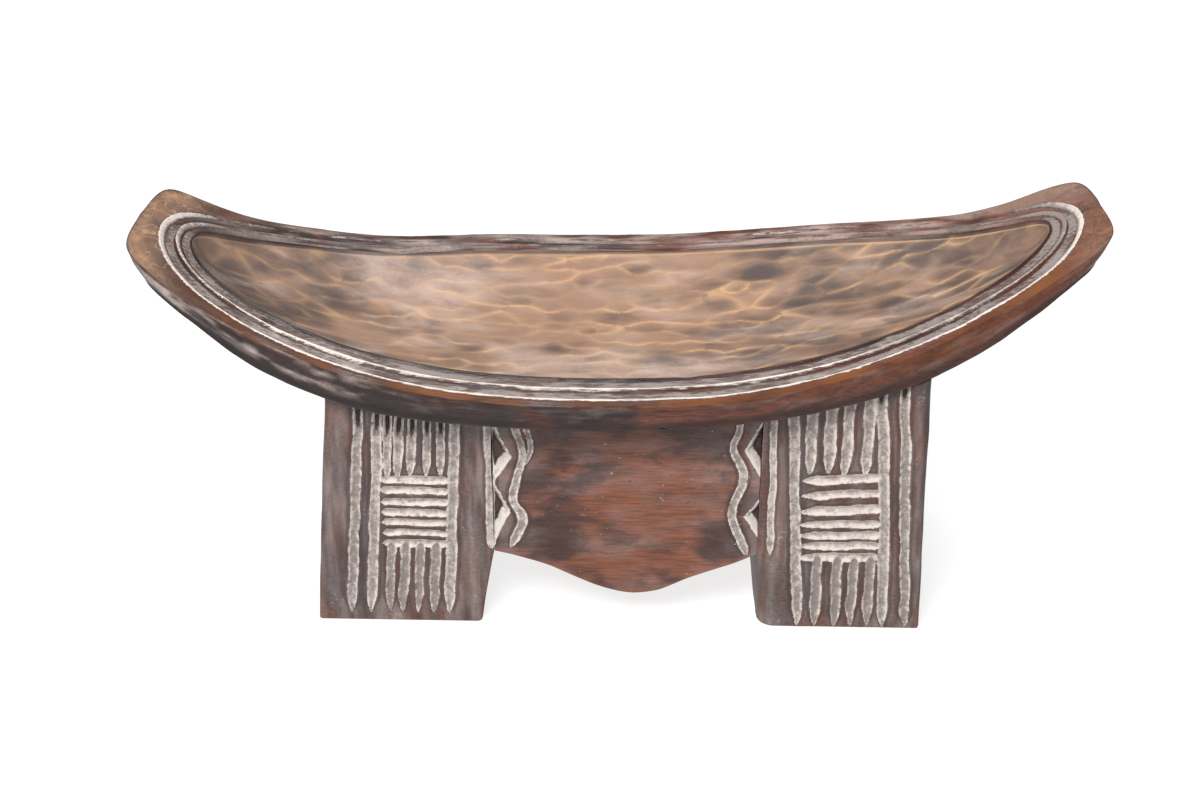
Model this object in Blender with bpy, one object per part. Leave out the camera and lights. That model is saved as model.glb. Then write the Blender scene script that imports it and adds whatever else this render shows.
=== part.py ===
"""Carved wooden headrest: a dished, up-curved rest on two splayed legs joined by a hanging centre panel.

X runs along the headrest, the front faces -Y, and Z = 0 is the plane under the feet. Metres.
"""

import math

import bmesh
import bpy

# The rest, seen from above and from the side. Keys -1 and 1 are its left and right ends.
CURVE_LENGTH = 0.180  # distance from the middle at which the widths and rises below hold
HALF_LENGTH = 0.1828
RIM_HEIGHT = 0.1161  # top of the rim halfway along
RISE = {-1: 0.0435, 1: 0.0470}
RISE_POWER = {-1: 3.16, 1: 2.39}
HALF_WIDTH = 0.0644
END_HALF_WIDTH = {-1: 0.0262, 1: 0.0228}
WIDTH_POWER = 2.09
EDGE_DEPTH = 0.0120  # height of the rim's side halfway along
EDGE_SWELL = 0.0035  # how much taller that side is over the legs
SWELL_PLACE = 0.112
SWELL_REACH = 0.044
END_THINNING = 0.0055
END_THINNING_SPAN = (0.150, 0.180)
END_DROP = 0.0004  # how far the worn tips fall away
END_DROP_START = 0.171
EDGE_ROUNDING = 0.0025
BAND_SLOPE = 0.18  # the grooved band rises inwards
BELLY = 0.0060
DISH_LIP = 0.0012
DISH_DEPTH = 0.0053
UNDERCUT_SIDE = 0.0015
UNDERCUT_END = 0.0070
RING_POINTS = 72
UNDERSIDE_RINGS = (0.15, 0.4, 0.65, 0.85, 1.0)  # parts of the full half width, from the middle out
DISH_RINGS = (0.97, 0.85, 0.65, 0.4, 0.15)
UNDERSIDE_GATHER = 0.06  # how much shorter the innermost ring is than the outermost
DISH_GATHER = 0.05

# The two grooves round the rim, as distances in from the edge.
OUTER_GROOVE = (0.0030, 0.0080)
INNER_GROOVE = (0.0096, 0.0142)
RIM_GROOVE_DEPTH = 0.0020
RIM_CLAY_FACE = 0.0007  # how far the clay lies below the band
END_EXTRA = 0.0052  # every line round the rim lies this much further in at the ends
# How square the ends are: each line round the rest follows 1 - |x / reach| ** first, to the power second.
OUTLINE_CORNER = (60, 0.34)
GROOVE_CORNER = (14, 0.5)
DISH_CORNER = (10, 0.5)

# The legs and the panel between them.
BODY_HALF_DEPTH = 0.0450
BODY_TURN = 0.0305  # the legs and panel stand slightly turned under the rest
BODY_CENTRE = 0.0030
SEAT_GAP = 0.0005
FIT_GAP = 0.0004
LEFT_LEG_OUTER = ((0.0, -0.1191), (0.100, -0.1112), (0.125, -0.1097))
LEFT_LEG_INNER = ((0.0, -0.0536), (0.034, -0.0484), (0.125, -0.0484))
RIGHT_LEG_INNER = ((0.0, 0.0545), (0.034, 0.0534), (0.125, 0.0534))
RIGHT_LEG_OUTER = ((0.0, 0.1190), (0.100, 0.1158), (0.125, 0.1152))
LEG_LEVELS = (0.0, 0.020, 0.033, 0.036, 0.070)
LEG_ACROSS = (0.0, 0.04, 0.11, 0.3, 0.5, 0.7, 0.89, 0.96, 1.0)  # grid lines, as parts of the width
LEG_THROUGH = (0.0, 0.04, 0.08, 0.3, 0.5, 0.7, 0.92, 0.96, 1.0)
FOOT_CORNER = {"left_leg": 0.002, "right_leg": 0.007}
FOOT_CORNER_FADE = (0.030, 0.036)  # heights between which that corner turns square under the panel
OUTER_CORNER = 0.0025
CORNER_CUT = 0.3  # how far a corner's own point moves in, as a part of the corner's size
PANEL_EDGES = (-0.0480, 0.0530)
PANEL_BOTTOM = (
    (-0.048, 0.0345), (-0.038, 0.0318), (-0.027, 0.0278), (-0.018, 0.0232), (-0.007, 0.0180),
    (0.000, 0.0158), (0.006, 0.0150), (0.014, 0.0163), (0.028, 0.0233), (0.038, 0.0274),
    (0.046, 0.0310), (0.053, 0.0347),
)
PANEL_STEPS_THROUGH = 8

# Stub tenons on the legs, and tongues on the panel.
TENON_X = {"left_leg": -0.0820, "right_leg": 0.0880}
TENON_SIZE = (0.040, 0.036)
TENON_TOP = {"left_leg": 0.1078, "right_leg": 0.1092}
TENON_ROOT = 0.088
TONGUE_LENGTH = 0.006
TONGUE_ROOT = 0.004
TONGUE_DEPTH = 0.024
TONGUE_SPAN = (0.050, 0.082)

# White clay lines: width, and how deep their groove and the clay in it lie.
LINE_WIDTH = 0.0032
THIN_LINE_WIDTH = 0.0024
CUT_DEPTH = 0.0022
CLAY_FACE = 0.0004
CLAY_BACK = 0.0018
CUT_MARGIN = 0.0004
CUT_OVERRUN = 0.0010  # how far a cutter stands out of the wood
UPPER_SHARE = 0.75  # width of the uprights above the rungs, as a part of the line width
RUNG_SHARE = 0.8
TEETH_SETBACK = 0.0002  # keeps the zigzag's faces off the seam line's
LINE_LEAN = 0.72  # lines lean in by this part of their distance from the middle, per metre up
LINE_FOOT = 0.0045
FLATNESS = 0.02  # neighbouring faces this close to flat, in radians, become one
SHARP_ANGLE = 35
SEAT_ROUNDS = 6  # steps to find where an upright line meets the rest

# Each leg's ladder: its two long sides, then the short uprights above and below the rungs.
LADDERS = {
    "left": {
        "sides": (-0.0978, -0.0668), "tops": (0.0965, 0.0930),
        "upper": (-0.0931, -0.0880, -0.0828, -0.0776, -0.0722),
        "lower": (-0.0906, -0.0851, -0.0794, -0.0732),
        "rungs": (0.0678, 0.0627, 0.0574, 0.0524, 0.0477, 0.0428, 0.0376),
    },
    "right": {
        "sides": (0.0706, 0.1042), "tops": (0.0940, 0.1040),
        "upper": (0.0778, 0.0847, 0.0919, 0.0992),
        "lower": (0.0780, 0.0856, 0.0920, 0.0982),
        "rungs": (0.0708, 0.0640, 0.0568, 0.0503, 0.0450, 0.0398, 0.0344),
    },
}
EDGE_LINES = {"left": (-0.1058, 0.0990), "right": (0.1131, 0.1060)}
SEAM_LINES = {"left": (-0.0497, 0.0370, 0.0905), "right": (0.0580, 0.0365, 0.0930)}
TEETH = {
    "left": ((-0.0470, 0.0895), (-0.0416, 0.0795), (-0.0476, 0.0675), (-0.0424, 0.0540), (-0.0485, 0.0405)),
    "right": ((0.0550, 0.0920), (0.0477, 0.0835), (0.0562, 0.0655), (0.0484, 0.0533), (0.0570, 0.0395)),
}
WAVES = {
    "left": ((-0.0388, 0.0890), (-0.0370, 0.0820), (-0.0388, 0.0700), (-0.0402, 0.0600),
             (-0.0376, 0.0500), (-0.0405, 0.0395)),
    "right": ((0.0447, 0.0910), (0.0431, 0.0840), (0.0462, 0.0700), (0.0432, 0.0560),
              (0.0452, 0.0460), (0.0480, 0.0390)),
}

COLOURS = {
    "dish_wood": ((0.150, 0.075, 0.032, 1.0), 0.45),
    "leg_wood": ((0.095, 0.062, 0.046, 1.0), 0.60),
    "panel_wood": ((0.120, 0.048, 0.024, 1.0), 0.50),
    "white_clay": ((0.560, 0.500, 0.430, 1.0), 0.90),
}


def clear_scene():
    for obj in list(bpy.data.objects):
        bpy.data.objects.remove(obj, do_unlink=True)


def material(name, part_name):
    colour, roughness = COLOURS[name]
    made = bpy.data.materials.new(f"{part_name}_{name}")
    made.use_nodes = True
    shader = made.node_tree.nodes["Principled BSDF"]
    shader.inputs["Base Color"].default_value = colour
    shader.inputs["Roughness"].default_value = roughness
    shader.inputs["Metallic"].default_value = 0.0
    return made


def make_object(name, bm, material_name):
    bmesh.ops.triangulate(bm, faces=bm.faces)
    bmesh.ops.recalc_face_normals(bm, faces=bm.faces)
    mesh = bpy.data.meshes.new(name)
    bm.to_mesh(mesh)
    bm.free()
    mesh.materials.append(material(material_name, name))
    mesh.shade_smooth()
    mesh.set_sharp_from_angle(angle=math.radians(SHARP_ANGLE))
    obj = bpy.data.objects.new(name, mesh)
    bpy.context.scene.collection.objects.link(obj)
    return obj


def make_helper(name, bm):
    helper = make_object(name, bm, "white_clay")
    helper.hide_render = True
    helper.display_type = "WIRE"
    return helper


def combine(obj, helper, operation):
    modifier = obj.modifiers.new(f"{operation.lower()}_{helper.name}", "BOOLEAN")
    modifier.operation = operation
    modifier.solver = "EXACT"
    modifier.object = helper


# Shape of the rest


def end_of(x):
    return -1 if x < 0 else 1


def smooth_step(value):
    value = min(max(value, 0.0), 1.0)
    return value * value * (3 - 2 * value)


def rim_height(x):
    end = end_of(x)
    return RIM_HEIGHT + RISE[end] * abs(x / CURVE_LENGTH) ** RISE_POWER[end]


def half_width(x):
    fraction = abs(x / CURVE_LENGTH) ** WIDTH_POWER
    return HALF_WIDTH + (END_HALF_WIDTH[end_of(x)] - HALF_WIDTH) * fraction


def inset_half_width(x, inset):
    """The half width of a line that runs parallel to the outline, at a distance in from it."""
    end = end_of(x)
    slope = (END_HALF_WIDTH[end] - HALF_WIDTH) * WIDTH_POWER
    slope *= abs(x / CURVE_LENGTH) ** (WIDTH_POWER - 1) / CURVE_LENGTH
    return half_width(x) - inset * math.hypot(1, slope)


def edge_depth(x):
    swell = EDGE_SWELL * math.exp(-(((abs(x) - SWELL_PLACE) / SWELL_REACH) ** 2))
    start, end = END_THINNING_SPAN
    return EDGE_DEPTH + swell - END_THINNING * smooth_step((abs(x) - start) / (end - start))


def underside_height(x, y):
    across = min(abs(y) / half_width(x), 1.0)
    return rim_height(x) - edge_depth(x) - BELLY * (1 - across**2)


def outline(side_inset, end_inset, corner):
    """Plan points of a closed line round the rest, front first, mirrored about its middle."""
    reach = HALF_LENGTH - end_inset
    points = []
    for i in range(RING_POINTS):
        angle = 2 * math.pi * i / RING_POINTS
        x = -reach * math.cos(angle)
        full = max(1 - abs(math.cos(angle)) ** corner[0], 0.0) ** corner[1]
        y = inset_half_width(x, side_inset) * full
        points.append((x, -y if i <= RING_POINTS // 2 else y))
    return points


def band_ring(inset, depth):
    """A line on the grooved band, this far in from the edge and this deep in it."""
    points = outline(inset, inset + END_EXTRA, GROOVE_CORNER)
    return [(x, y, rim_height(x) + BAND_SLOPE * inset - depth) for x, y in points]


def edge_ring():
    ring = []
    for x, y in outline(0, 0, OUTLINE_CORNER):
        drop = END_DROP * smooth_step((abs(x) - END_DROP_START) / (HALF_LENGTH - END_DROP_START))
        ring.append((x, y, rim_height(x) - EDGE_ROUNDING - drop))
    return ring


def underside_ring(fraction):
    ring = []
    for x, y in outline(UNDERCUT_SIDE, UNDERCUT_END, OUTLINE_CORNER):
        x *= 1 - UNDERSIDE_GATHER * (1 - fraction)
        y *= fraction
        ring.append((x, y, underside_height(x, y)))
    return ring


def dish_ring(fraction):
    inset = INNER_GROOVE[1]
    ring = []
    for x, y in outline(inset, inset + END_EXTRA, DISH_CORNER):
        x *= 1 - DISH_GATHER * (1 - fraction)
        y *= fraction
        drop = DISH_LIP + DISH_DEPTH * (1 - fraction**2)
        ring.append((x, y, rim_height(x) + BAND_SLOPE * inset - drop))
    return ring


def groove_rings(groove):
    outer, inner = groove
    return [
        band_ring(outer, 0),
        band_ring(outer, RIM_GROOVE_DEPTH),
        band_ring(inner, RIM_GROOVE_DEPTH),
        band_ring(inner, 0),
    ]


def join_rings(bm, rings, closed):
    """Quads between one ring and the next, and back to the first one if the rings make a tube."""
    lines = [[bm.verts.new(point) for point in ring] for ring in rings]
    pairs = list(zip(lines, lines[1:]))
    if closed:
        pairs.append((lines[-1], lines[0]))
    for first, second in pairs:
        for i in range(RING_POINTS):
            after = (i + 1) % RING_POINTS
            bm.faces.new((first[i], first[after], second[after], second[i]))
    return lines


def close_ring(bm, line):
    """Fills a ring with strips between its front and back points, which mirror each other."""
    half = RING_POINTS // 2
    for i in range(half):
        corners = [line[i], line[i + 1], line[RING_POINTS - i - 1], line[-i]]
        unique = list(dict.fromkeys(corners))
        bm.faces.new(unique)


def build_rest():
    rings = [underside_ring(fraction) for fraction in UNDERSIDE_RINGS]
    rings.append(edge_ring())
    rings += groove_rings(OUTER_GROOVE) + groove_rings(INNER_GROOVE)
    rings += [dish_ring(fraction) for fraction in DISH_RINGS]
    bm = bmesh.new()
    lines = join_rings(bm, rings, closed=False)
    close_ring(bm, lines[0])
    close_ring(bm, lines[-1])
    rest = make_object("rest", bm, "dish_wood")
    for leg in TENON_X:
        combine(rest, tenon(f"mortise_for_{leg}", leg, FIT_GAP), "DIFFERENCE")
    return rest


def build_rim_line(name, groove):
    """The white clay that lies in one of the rim's grooves, as a closed ring."""
    outer, inner = groove[0] + CUT_MARGIN, groove[1] - CUT_MARGIN
    back = RIM_GROOVE_DEPTH - CUT_MARGIN
    rings = [
        band_ring(outer, RIM_CLAY_FACE),
        band_ring(outer, back),
        band_ring(inner, back),
        band_ring(inner, RIM_CLAY_FACE),
    ]
    bm = bmesh.new()
    join_rings(bm, rings, closed=True)
    return make_object(name, bm, "white_clay")


# Legs and panel


def turned(x, depth, z):
    """A point of the legs or panel. Depth is measured square to the front, from the middle."""
    return (x, depth - BODY_TURN * (x - BODY_CENTRE), z)


def read_line(line, at):
    """The value of a line of (place, value) points at a place along it."""
    for (start, low), (end, high) in zip(line, line[1:]):
        if at <= end:
            return low + (high - low) * (at - start) / (end - start)
    return line[-1][1]


def height_under_rest(place_at_height):
    """The point of an upright line that lies one seat gap under the rest."""
    height = RIM_HEIGHT - EDGE_DEPTH
    for _ in range(SEAT_ROUNDS):
        x, y, _ = place_at_height(height)
        height = underside_height(x, y) - SEAT_GAP
    return place_at_height(height)


def block(steps, place):
    """A closed solid with a grid on each side. Place turns three whole steps into a point."""
    bm = bmesh.new()
    verts = {}

    def vert(*key):
        if key not in verts:
            verts[key] = bm.verts.new(place(*key))
        return verts[key]

    for axis in range(3):
        first, second = [other for other in range(3) if other != axis]
        for end in (0, steps[axis]):
            for i in range(steps[first]):
                for j in range(steps[second]):
                    corners = []
                    for di, dj in ((0, 0), (1, 0), (1, 1), (0, 1)):
                        key = [0, 0, 0]
                        key[axis] = end
                        key[first] = i + di
                        key[second] = j + dj
                        corners.append(vert(*key))
                    bm.faces.new(corners)
    return bm


def box(low, high):
    def place(i, j, k):
        return tuple(low[n] if step == 0 else high[n] for n, step in enumerate((i, j, k)))

    return block((1, 1, 1), place)


def tenon(name, leg, margin):
    x, half_x, half_y = TENON_X[leg], TENON_SIZE[0] / 2, TENON_SIZE[1] / 2
    y = turned(x, 0, 0)[1]
    low = (x - half_x - margin, y - half_y - margin, TENON_ROOT)
    high = (x + half_x + margin, y + half_y + margin, TENON_TOP[leg] + margin)
    return make_helper(name, box(low, high))


def tongue(name, side, margin):
    """The panel's tongue at one side. Side is -1 for the left leg's and 1 for the right leg's."""
    root = PANEL_EDGES[0] if side < 0 else PANEL_EDGES[1]
    tip = root + side * (TONGUE_LENGTH + margin)
    inside = root - side * TONGUE_ROOT
    y = turned(root, 0, 0)[1]
    half = TONGUE_DEPTH / 2 + margin
    low = (min(inside, tip), y - half, TONGUE_SPAN[0] - margin)
    high = (max(inside, tip), y + half, TONGUE_SPAN[1] + margin)
    return make_helper(name, box(low, high))


def build_leg(name, left_edge, right_edge, inner_is_right):
    """A leg as a grid of upright lines from the floor to the rest's underside."""

    def upright(i, j, height):
        left, right = read_line(left_edge, height), read_line(right_edge, height)
        x = left + (right - left) * LEG_ACROSS[i]
        depth = BODY_HALF_DEPTH * (2 * LEG_THROUGH[j] - 1)
        if i in (0, len(LEG_ACROSS) - 1) and j in (0, len(LEG_THROUGH) - 1):
            on_inner = (i > 0) == inner_is_right
            start, end = FOOT_CORNER_FADE
            low_down = 1 - smooth_step((height - start) / (end - start))
            cut = CORNER_CUT * (FOOT_CORNER[name] * low_down if on_inner else OUTER_CORNER)
            x += cut if i == 0 else -cut
            depth += cut if j == 0 else -cut
        return turned(x, depth, height)

    def place(i, j, k):
        if k < len(LEG_LEVELS):
            return upright(i, j, LEG_LEVELS[k])
        return height_under_rest(lambda height: upright(i, j, height))

    bm = block((len(LEG_ACROSS) - 1, len(LEG_THROUGH) - 1, len(LEG_LEVELS)), place)
    leg = make_object(name, bm, "leg_wood")
    combine(leg, tenon(f"tenon_of_{name}", name, 0), "UNION")
    side = -1 if inner_is_right else 1
    combine(leg, tongue(f"groove_in_{name}", side, FIT_GAP), "DIFFERENCE")
    return leg


def build_panel():
    """The hanging panel: an ogee below, the rest's underside above."""

    def place(i, j, k):
        x, bottom = PANEL_BOTTOM[i]
        depth = BODY_HALF_DEPTH * (2 * j / PANEL_STEPS_THROUGH - 1)
        if k == 0:
            return turned(x, depth, bottom)
        return height_under_rest(lambda height: turned(x, depth, height))

    bm = block((len(PANEL_BOTTOM) - 1, PANEL_STEPS_THROUGH, 1), place)
    panel = make_object("centre_panel", bm, "panel_wood")
    for side, word in ((-1, "left"), (1, "right")):
        combine(panel, tongue(f"{word}_tongue", side, 0), "UNION")
    return panel


# White clay lines and the grooves they lie in


def flat_solid(outlines, faces, near, far):
    """A flat plate in the plane of the front: outline points (x, z), extruded between two depths."""
    bm = bmesh.new()
    front = [bm.verts.new(turned(x, near, z)) for x, z in outlines]
    back = [bm.verts.new(turned(x, far, z)) for x, z in outlines]
    counts = {}
    for face in faces:
        bm.faces.new([front[i] for i in face])
        bm.faces.new([back[i] for i in reversed(face)])
        for a, b in zip(face, face[1:] + face[:1]):
            counts[frozenset((a, b))] = counts.get(frozenset((a, b)), []) + [(a, b)]
    for uses in counts.values():
        if len(uses) == 1:
            a, b = uses[0]
            bm.faces.new((front[b], front[a], back[a], back[b]))
    return bm


def bars_solid(bars, near, far):
    """One plate from upright and level bars (x0, x1, z0, z1) that cross each other, leaning with height."""
    xs = sorted({edge for bar in bars for edge in bar[:2]})
    zs = sorted({edge for bar in bars for edge in bar[2:]})
    points, index, faces = [], {}, []

    def corner(i, j):
        if (i, j) not in index:
            index[i, j] = len(points)
            points.append((xs[i] * (1 - LINE_LEAN * zs[j]), zs[j]))
        return index[i, j]

    for i in range(len(xs) - 1):
        for j in range(len(zs) - 1):
            x, z = (xs[i] + xs[i + 1]) / 2, (zs[j] + zs[j + 1]) / 2
            if any(x0 < x < x1 and z0 < z < z1 for x0, x1, z0, z1 in bars):
                faces.append([corner(i, j), corner(i + 1, j), corner(i + 1, j + 1), corner(i, j + 1)])
    bm = flat_solid(points, faces, near, far)
    bmesh.ops.dissolve_limit(bm, angle_limit=FLATNESS, verts=bm.verts, edges=bm.edges)
    return bm


def strip_solid(path, width, near, far):
    """One plate along a path of (x, z) points."""
    points = []
    for i, (x, z) in enumerate(path):
        before, after = path[max(i - 1, 0)], path[min(i + 1, len(path) - 1)]
        run, rise = after[0] - before[0], after[1] - before[1]
        length = math.hypot(run, rise)
        points.append((x - rise / length * width / 2, z + run / length * width / 2))
        points.append((x + rise / length * width / 2, z - run / length * width / 2))
    faces = [[2 * i, 2 * i + 1, 2 * i + 3, 2 * i + 2] for i in range(len(path) - 1)]
    return flat_solid(points, faces, near, far)


def ladder_bars(ladder, margin):
    """The bars of a ladder, each made wider and longer by the margin."""
    half = LINE_WIDTH / 2 + margin
    rungs = ladder["rungs"]
    left, right = ladder["sides"]
    bars = []
    for x, top in zip(ladder["sides"], ladder["tops"]):
        bars.append((x - half, x + half, LINE_FOOT - margin, top + margin))
    for x in ladder["upper"]:
        top = read_line(((left, ladder["tops"][0]), (right, ladder["tops"][1])), x)
        thin = half * UPPER_SHARE
        bars.append((x - thin, x + thin, rungs[0] - margin / 2, top + margin))
    for x in ladder["lower"]:
        bars.append((x - half, x + half, LINE_FOOT - margin, rungs[-1] + margin / 2))
    for z in rungs:
        thin = half * RUNG_SHARE
        bars.append((left - margin / 2, right + margin / 2, z - thin, z + thin))
    return bars


def clay_line(name, make, wood):
    """A clay line and the groove for it. Make takes a margin and gives bmesh solids for both faces."""
    for face, sign in (("front", -1), ("back", 1)):
        surface = sign * BODY_HALF_DEPTH
        near, far = surface - sign * CLAY_FACE, surface - sign * CLAY_BACK
        clay = make_object(f"{name}_{face}", make(0.0, near, far)[0], "white_clay")
        for extra in make(0.0, near, far)[1:]:
            combine(clay, make_helper(f"{name}_{face}_branch", extra), "UNION")
        near, far = surface + sign * CUT_OVERRUN, surface - sign * CUT_DEPTH
        for number, shape in enumerate(make(CUT_MARGIN, near, far)):
            cutter = make_helper(f"{name}_{face}_cut_{number}", shape)
            for obj in wood:
                combine(obj, cutter, "DIFFERENCE")


def build_clay(word, leg, panel):
    """All the clay lines on one leg and its end of the panel, on the front and the back."""
    ladder = LADDERS[word]
    edge_x, edge_top = EDGE_LINES[word]
    seam_x, seam_low, seam_high = SEAM_LINES[word]
    half = THIN_LINE_WIDTH / 2

    def ladder_shape(margin, near, far):
        return [bars_solid(ladder_bars(ladder, margin), near, far)]

    def edge_shape(margin, near, far):
        bar = (edge_x - half - margin, edge_x + half + margin, LINE_FOOT - margin, edge_top + margin)
        return [bars_solid([bar], near, far)]

    def teeth_shape(margin, near, far):
        seam = ((seam_x, seam_low - margin), (seam_x, seam_high + margin))
        width = THIN_LINE_WIDTH + 2 * margin
        inward = TEETH_SETBACK if far > near else -TEETH_SETBACK
        teeth = strip_solid(TEETH[word], width, near + inward, far - inward)
        return [strip_solid(seam, width, near, far), teeth]

    def wave_shape(margin, near, far):
        return [strip_solid(WAVES[word], THIN_LINE_WIDTH + 2 * margin, near, far)]

    clay_line(f"{word}_ladder_clay", ladder_shape, [leg])
    clay_line(f"{word}_edge_clay", edge_shape, [leg])
    clay_line(f"{word}_teeth_clay", teeth_shape, [leg, panel])
    clay_line(f"{word}_wave_clay", wave_shape, [panel])


def main():
    clear_scene()
    build_rest()
    build_rim_line("outer_rim_clay", OUTER_GROOVE)
    build_rim_line("inner_rim_clay", INNER_GROOVE)
    left = build_leg("left_leg", LEFT_LEG_OUTER, LEFT_LEG_INNER, inner_is_right=True)
    right = build_leg("right_leg", RIGHT_LEG_INNER, RIGHT_LEG_OUTER, inner_is_right=False)
    panel = build_panel()
    build_clay("left", left, panel)
    build_clay("right", right, panel)


main()
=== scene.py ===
import math

import bpy
import numpy as np
from mathutils import Matrix, Vector


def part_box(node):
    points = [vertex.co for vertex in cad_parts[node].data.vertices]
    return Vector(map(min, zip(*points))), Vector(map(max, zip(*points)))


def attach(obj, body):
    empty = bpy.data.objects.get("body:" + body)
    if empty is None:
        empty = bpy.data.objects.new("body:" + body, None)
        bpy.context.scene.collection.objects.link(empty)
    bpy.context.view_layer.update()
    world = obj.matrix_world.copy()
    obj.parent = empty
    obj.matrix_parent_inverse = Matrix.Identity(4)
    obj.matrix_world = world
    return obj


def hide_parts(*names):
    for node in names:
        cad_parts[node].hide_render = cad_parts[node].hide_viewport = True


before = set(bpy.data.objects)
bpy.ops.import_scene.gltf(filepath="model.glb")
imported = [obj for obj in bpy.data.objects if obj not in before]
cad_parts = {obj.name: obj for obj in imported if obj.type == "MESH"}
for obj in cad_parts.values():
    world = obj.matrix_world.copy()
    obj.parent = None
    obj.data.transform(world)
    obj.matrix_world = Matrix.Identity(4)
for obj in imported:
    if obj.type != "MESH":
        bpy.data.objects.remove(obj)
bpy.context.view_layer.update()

mm = 0.001  # all shapes below are worked out in millimetres
tiny = 1e-6

view = {
    "target": (-7.15, 0.0, 76.8), "distance": 947.6, "elevation": 32.82, "turn": 0.56, "roll": 0.21,
    "lens": 72.0, "sensor": 36.0,
}
light = {
    "world": 0.30, "overheadPower": 7.0, "overheadSize": (0.8, 0.5), "overheadPlace": (0.0, 0.25, 1.10),
    "frontPower": 24.0, "frontSize": (0.55, 0.40), "frontPlace": (-0.30, -0.85, 1.10),
    "floorColour": (0.25, 0.25, 0.25, 1.0), "floorGlow": 0.80, "floorSize": 8.0, "aim": (0.0, 0.0, 0.09),
}


# Noise and small helpers

hashSteps = (374761393, 668265263, 1440662683, 1274126177)
hashRange = 4294967295
seedStep = 974711


def hashValue(ix, iy, iz, seed):
    # a fixed pseudo-random value from -1 to 1 for each whole cell
    n = (ix * hashSteps[0] + iy * hashSteps[1] + iz * hashSteps[2] + seed * seedStep) & hashRange
    n = ((n ^ (n >> 13)) * hashSteps[3]) & hashRange
    n = n ^ (n >> 16)
    return n / hashRange * 2 - 1


def smoothNoise(x, y, z, seed):
    x, y, z = np.broadcast_arrays(x, y, z)
    cells = [np.floor(v).astype(np.int64) for v in (x, y, z)]
    parts = [v - cell for v, cell in zip((x, y, z), cells)]
    fades = [p * p * (3 - 2 * p) for p in parts]
    total = 0.0
    for corner in range(8):
        steps = [(corner >> axis) & 1 for axis in range(3)]
        weight = 1.0
        for step, fade in zip(steps, fades):
            weight = weight * (fade if step else 1 - fade)
        total = total + weight * hashValue(*[cell + step for cell, step in zip(cells, steps)], seed)
    return total


def roughNoise(x, y, z, seed, octaves=3):
    total, size = 0.0, 1.0
    for octave in range(octaves):
        total = total + size * smoothNoise(x * 2**octave, y * 2**octave, z * 2**octave, seed + octave)
        size *= 0.5
    return total


def step(value, low, high):
    t = np.clip((value - low) / (high - low), 0.0, 1.0)
    return t * t * (3 - 2 * t)


def bump(value, place, reach):
    return np.exp(-(((value - place) / reach) ** 2))


def risen(*noise):
    # the part of a rough noise above its middle
    return np.clip(roughNoise(*noise), 0, 1)


def curveThrough(points, at):
    # a smooth line through (place, value) points
    places = np.array([p[0] for p in points], float)
    values = np.array([p[1] for p in points], float)
    slopes = np.gradient(values, places)
    i = np.clip(np.searchsorted(places, at) - 1, 0, len(places) - 2)
    gap = places[i + 1] - places[i]
    t = np.clip((at - places[i]) / gap, 0, 1)
    return (values[i] * (1 + 2 * t) * (1 - t) ** 2 + values[i + 1] * (3 - 2 * t) * t * t
            + gap * slopes[i] * t * (1 - t) ** 2 - gap * slopes[i + 1] * t * t * (1 - t))


def makePiece(name, points, quads, marks, material, nodes):
    # marks are per-point values that the material reads
    mesh = bpy.data.meshes.new(name)
    mesh.vertices.add(len(points))
    mesh.vertices.foreach_set("co", (points * mm).astype(np.float32).ravel())
    mesh.loops.add(quads.size)
    mesh.loops.foreach_set("vertex_index", quads.astype(np.int32).ravel())
    mesh.polygons.add(len(quads))
    mesh.polygons.foreach_set("loop_start", np.arange(0, quads.size, 4, dtype=np.int32))
    mesh.update(calc_edges=True)
    mesh.validate()
    mesh.shade_smooth()
    for mark, values in marks.items():
        layer = mesh.attributes.new(mark, "FLOAT", "POINT")
        layer.data.foreach_set("value", np.broadcast_to(values, len(points)).astype(np.float32))
    mesh.materials.append(material)
    piece = bpy.data.objects.new(name, mesh)
    bpy.context.scene.collection.objects.link(piece)
    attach(piece, "root")
    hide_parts(*nodes)
    return piece


# Finishes


making = {}  # holds the node tree of the finish that is being made


def addNode(kind, **settings):
    node = making["tree"].nodes.new(kind)
    for key, value in settings.items():
        setattr(node, key, value)
    return node


def wire(source, node, socket):
    if hasattr(source, "is_output"):
        making["tree"].links.new(source, node.inputs[socket])
    else:
        node.inputs[socket].default_value = source


def maths(operation, a, b=0.0, clamp=False):
    node = addNode("ShaderNodeMath", operation=operation, use_clamp=clamp)
    wire(a, node, 0)
    wire(b, node, 1)
    return node.outputs[0]


def times(a, b):
    return maths("MULTIPLY", a, b)


def plus(a, b, clamp=False):
    return maths("ADD", a, b, clamp)


def swing(value, amount):
    # how far a noise value lies from its middle, made larger or smaller
    return times(maths("SUBTRACT", value, 0.5), amount)


def ramp(value, low, high, start=0.0, end=1.0):
    node = addNode("ShaderNodeMapRange", interpolation_type="SMOOTHSTEP")
    for socket, source in zip(range(5), (value, low, high, start, end)):
        wire(source, node, socket)
    return node.outputs[0]


def blendColour(amount, a, b):
    node = addNode("ShaderNodeMix", data_type="RGBA")
    wire(amount, node, 0)
    wire(a, node, 6)
    wire(b, node, 7)
    return node.outputs[2]


def noiseOf(place, size, detail=3.0, roughness=0.55, distortion=0.0):
    # size is the grain's size in millimetres along each axis
    mapping = addNode("ShaderNodeMapping")
    wire(place, mapping, "Vector")
    mapping.inputs["Scale"].default_value = [1 / (s * mm) for s in size]
    noise = addNode("ShaderNodeTexNoise")
    wire(mapping.outputs[0], noise, "Vector")
    noise.inputs["Scale"].default_value = 1.0
    noise.inputs["Detail"].default_value = detail
    noise.inputs["Roughness"].default_value = roughness
    noise.inputs["Distortion"].default_value = distortion
    return noise.outputs[0]


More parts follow.
